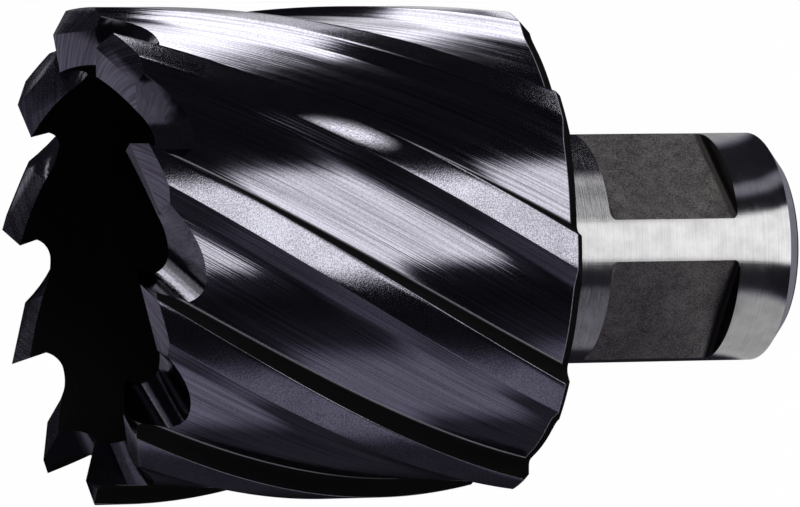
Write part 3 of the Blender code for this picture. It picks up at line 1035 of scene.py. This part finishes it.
def glint_lamps():
    """Tiny oval lamps close over one land, slanted as the land is, and mirrored by it alone."""
    facing = Matrix.Rotation(math.radians(seen_from_camera(GLINT_FACING)), 4, 'Z')
    upright = Matrix.Rotation(math.radians(90.0), 4, 'Y')
    lean = Matrix.Rotation(math.radians(-GLINT_LEAN), 4, 'Z')
    for step, (length, width, level) in enumerate(GLINT_OVALS):
        distance = GLINT_DISTANCE - step * GLINT_STEP
        middle = Matrix.Translation(polar(distance, seen_from_camera(GLINT_TURN), GLINT_HEIGHT))
        item = area_lamp(
            f"glint_lamp_{step}", 'ELLIPSE', length, width, level, middle @ facing @ upright @ lean)
        item.visible_diffuse = False


def floor_material():
    """A pale floor that the camera sees about white and that keeps the cutter's shadow."""
    recipe = Recipe("pale_floor")
    recipe.surface(Base_Color=tuple(stage().floor), Roughness=0.8)
    path = {name: recipe.node('ShaderNodeLightPath', output=name) for name in (
        "Is Camera Ray", "Is Glossy Ray", "Is Transmission Ray")}
    shown = sum(path.values(), 0.0)
    glow = recipe.node('ShaderNodeEmission', None, {"Color": (1.0, 1.0, 1.0), "Strength": 1.0})
    lit = Value(recipe, recipe.shader.outputs[0])
    return recipe.output(recipe.node('ShaderNodeMixShader', None, (shown * FLOOR_GLOW, lit, glow)))


def pale_floor():
    """The floor that the cutter stands on, which the steel doesn't mirror."""
    shape = bmesh.new()
    bmesh.ops.create_grid(shape, x_segments=1, y_segments=1, size=FLOOR_SIZE / 2)
    item = new_object("floor", shape)
    item.data.materials.append(floor_material())
    item.visible_glossy = False


def soft_range(value, low, high, blur):
    """One between two limits and nought outside them, with a smooth step over each limit."""
    rise = min(1.0, max(0.0, (value - low) / blur + 0.5))
    fall = min(1.0, max(0.0, (high - value) / blur + 0.5))
    return (3 - 2 * rise) * rise ** 2 * (3 - 2 * fall) * fall ** 2


def painted_level(patches, level, turn, place):
    """Brightness at a turn from the camera's side and a place along the surface's other way."""
    for first, last, turn_blur, low, high, place_blur, slide, patch_level in patches:
        middle = (first + last) / 2
        across = turn - slide * (place - (low + high) / 2)
        across = (across - middle + 180.0) % 360.0 - 180.0 + middle
        share = soft_range(across, first, last, turn_blur)
        share *= soft_range(place, low, high, place_blur)
        level += (patch_level - level) * share
    return level


def glow_material():
    """Light of the brightness that is stored on a painted surface's corners."""
    recipe = Recipe("painted_light")
    level = recipe.node('ShaderNodeAttribute', {"attribute_name": "level"}, output="Fac")
    colour = recipe.blend(level.rise(*TINT_FADE), DARK_TINT, (1.0, 1.0, 1.0))
    return recipe.output(recipe.node('ShaderNodeEmission', None, {"Color": colour, "Strength": level}))


def painted(name, shape, level_at):
    """Hang a painted surface that only the steel mirrors."""
    levels = shape.verts.layers.float.new("level")
    for corner in shape.verts:
        turn = math.degrees(math.atan2(corner.co.y, corner.co.x)) - seen_from_camera(0.0)
        corner[levels] = level_at(turn, corner.co)
    item = new_object(name, shape)
    item.data.materials.append(glow_material())
    item.visible_camera = False
    item.visible_shadow = False
    item.visible_diffuse = False


def reflection_room():
    """A dark room round the cutter with soft boxes on its walls, painted by turn and elevation."""
    def level_at(turn, place):
        """Brightness at a place on the wall."""
        sine = max(-1.0, min(1.0, place.z / ROOM_RADIUS))
        return painted_level(ROOM_PATCHES, ROOM_LEVEL, turn, math.degrees(math.asin(sine)))

    shape = bmesh.new()
    bmesh.ops.create_uvsphere(
        shape, u_segments=ROOM_STEPS[0], v_segments=ROOM_STEPS[1], radius=ROOM_RADIUS)
    painted("reflection_room", shape, level_at)


def reflection_sheet():
    """A painted sheet round the foot of the shank, in front of the room's lower half."""
    def level_at(turn, place):
        """Brightness at a place on the sheet."""
        return painted_level(SHEET_PATCHES, SHEET_LEVEL, turn, place.to_2d().length / MM)

    shape = bmesh.new()
    ratio = (SHEET_RADIUS / SHEET_HOLE) ** (1 / SHEET_RINGS)
    revolve(shape, [(SHEET_HOLE * ratio ** step, SHEET_HEIGHT) for step in range(SHEET_RINGS + 1)])
    painted("reflection_sheet", shape, level_at)


def world_light():
    """Faint even light from all round, behind which the camera sees white."""
    recipe = Recipe("even_light", "worlds", "Background")
    seen = recipe.node('ShaderNodeLightPath', output="Is Camera Ray")
    level = recipe.mix(seen, stage().world_level, 1.0)
    bpy.context.scene.world = recipe.surface(Color=(1.0, 1.0, 1.0), Strength=level)


class CUTTER_OT_stage(bpy.types.Operator):
    """Lay the floor, hang the painted surfaces and the lamps, and place the camera"""

    bl_idname = "cutter.stage"
    bl_label = "Set the stage"

    def execute(self, context):
        """Make the stage."""
        pale_floor()
        reflection_sheet()
        reflection_room()
        glint_lamps()
        far_lamp("key_lamp", *KEY_LAMP)
        far_lamp("fill_lamp", *FILL_LAMP)
        world_light()
        context.scene.view_settings.view_transform = 'Standard'
        place_camera()
        return {'FINISHED'}


class CUTTER_PT_panel(bpy.types.Panel):
    """The cutter's operators and settings"""

    bl_idname = "CUTTER_PT_panel"
    bl_label = "Annular Cutter"
    bl_space_type = 'VIEW_3D'
    bl_region_type = 'UI'
    bl_category = "Cutter"

    def draw(self, context):
        """List the operators and the settings."""
        for operator in (CUTTER_OT_mill, CUTTER_OT_stage):
            self.layout.operator(operator.bl_idname)
        for group in (sizes(), finishes(), stage()):
            box = self.layout.box()
            for name in group.__annotations__:
                box.prop(group, name)


CLASSES = (
    CutterSizes, CutterFinishes, StageSettings, CUTTER_OT_mill, CUTTER_OT_stage, CUTTER_PT_panel)


def register():
    """Register the classes and their settings."""
    for item in CLASSES:
        bpy.utils.register_class(item)
    bpy.types.Scene.cutter_sizes = PointerProperty(type=CutterSizes)
    bpy.types.Scene.cutter_finishes = PointerProperty(type=CutterFinishes)
    bpy.types.Scene.stage_settings = PointerProperty(type=StageSettings)


def unregister():
    """Take the classes and their settings away again."""
    del bpy.types.Scene.stage_settings
    del bpy.types.Scene.cutter_finishes
    del bpy.types.Scene.cutter_sizes
    for item in reversed(CLASSES):
        bpy.utils.unregister_class(item)


def main():
    """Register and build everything."""
    register()
    bpy.ops.cutter.mill()
    bpy.ops.cutter.stage()


if __name__ == "__main__":
    main()
